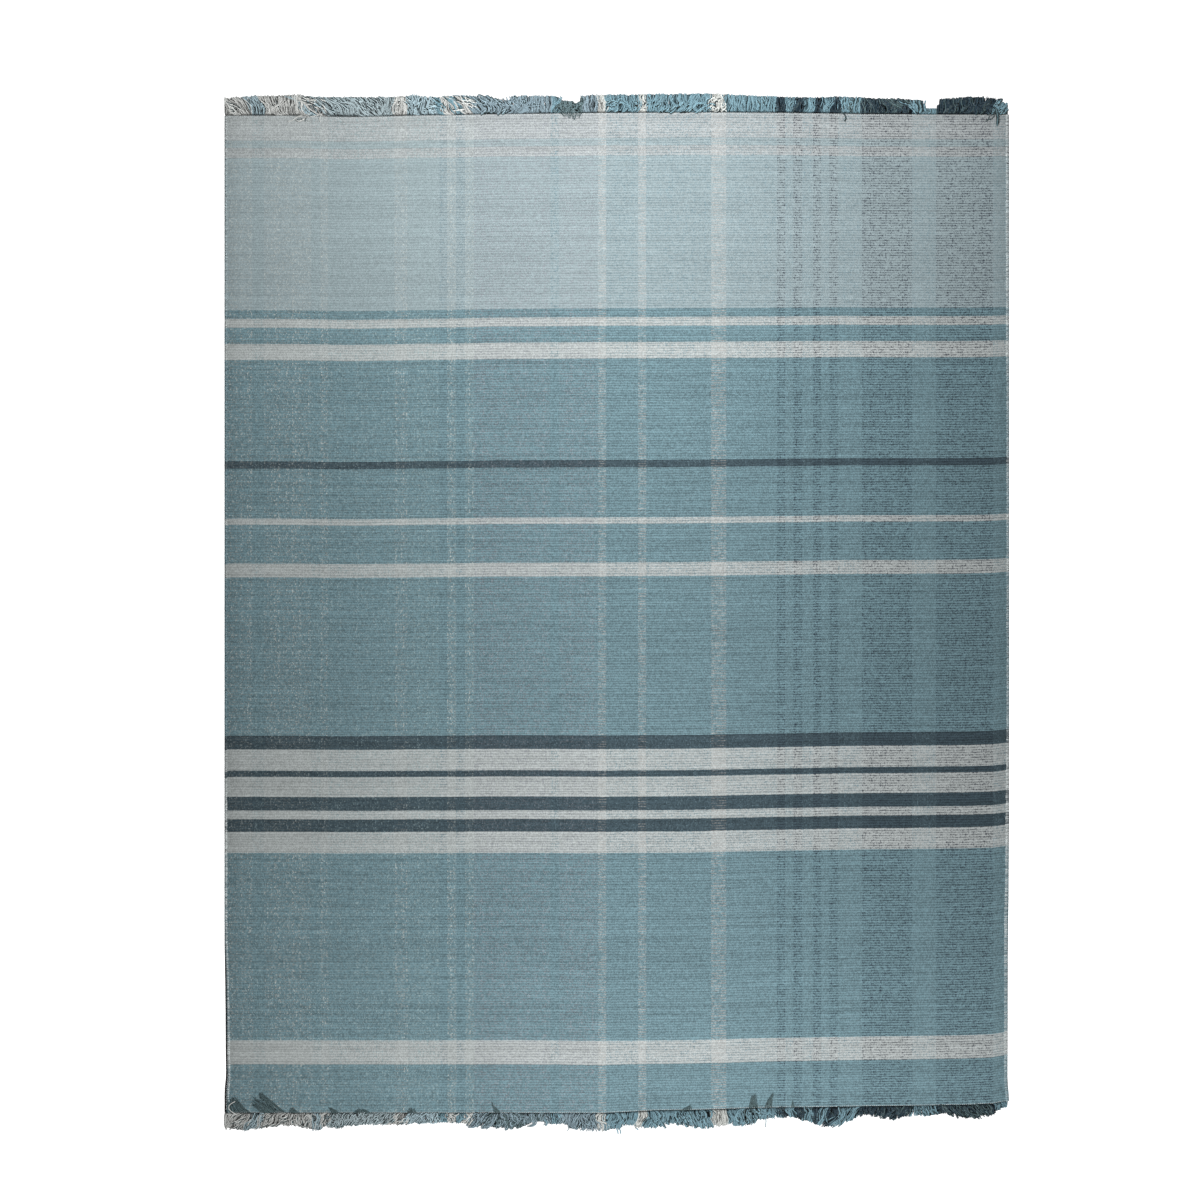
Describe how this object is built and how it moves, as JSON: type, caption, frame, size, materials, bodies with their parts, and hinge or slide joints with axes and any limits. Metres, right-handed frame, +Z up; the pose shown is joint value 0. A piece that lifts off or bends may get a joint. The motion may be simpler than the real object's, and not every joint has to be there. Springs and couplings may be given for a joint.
{
  "type": "flatweave rug",
  "caption": "Flat rectangular flatweave rug with a plaid of wide and narrow stripes, yarn-overcast sides and a short loose fringe across each end.",
  "frame": {"origin": "on the floor, under the middle of the rug", "axes": "+X across the rug towards its dark-striped side, +Y along it towards its pale end, +Z up out of its patterned face"},
  "size_m": [1.8002, 2.3936, 0.0083],
  "materials": {
    "woven_cloth": "matte ribbed plain weave with stripes",
    "edging_yarn": "matte overcast yarn",
    "fringe_yarn": "matte loose two-ply yarn"
  },
  "bodies": {
    "root": {"cloth": "woven_cloth", "left_edging": "edging_yarn", "right_edging": "edging_yarn", "fringe_top": "fringe_yarn", "fringe_bottom": "fringe_yarn"}
  },
  "joints": []
}
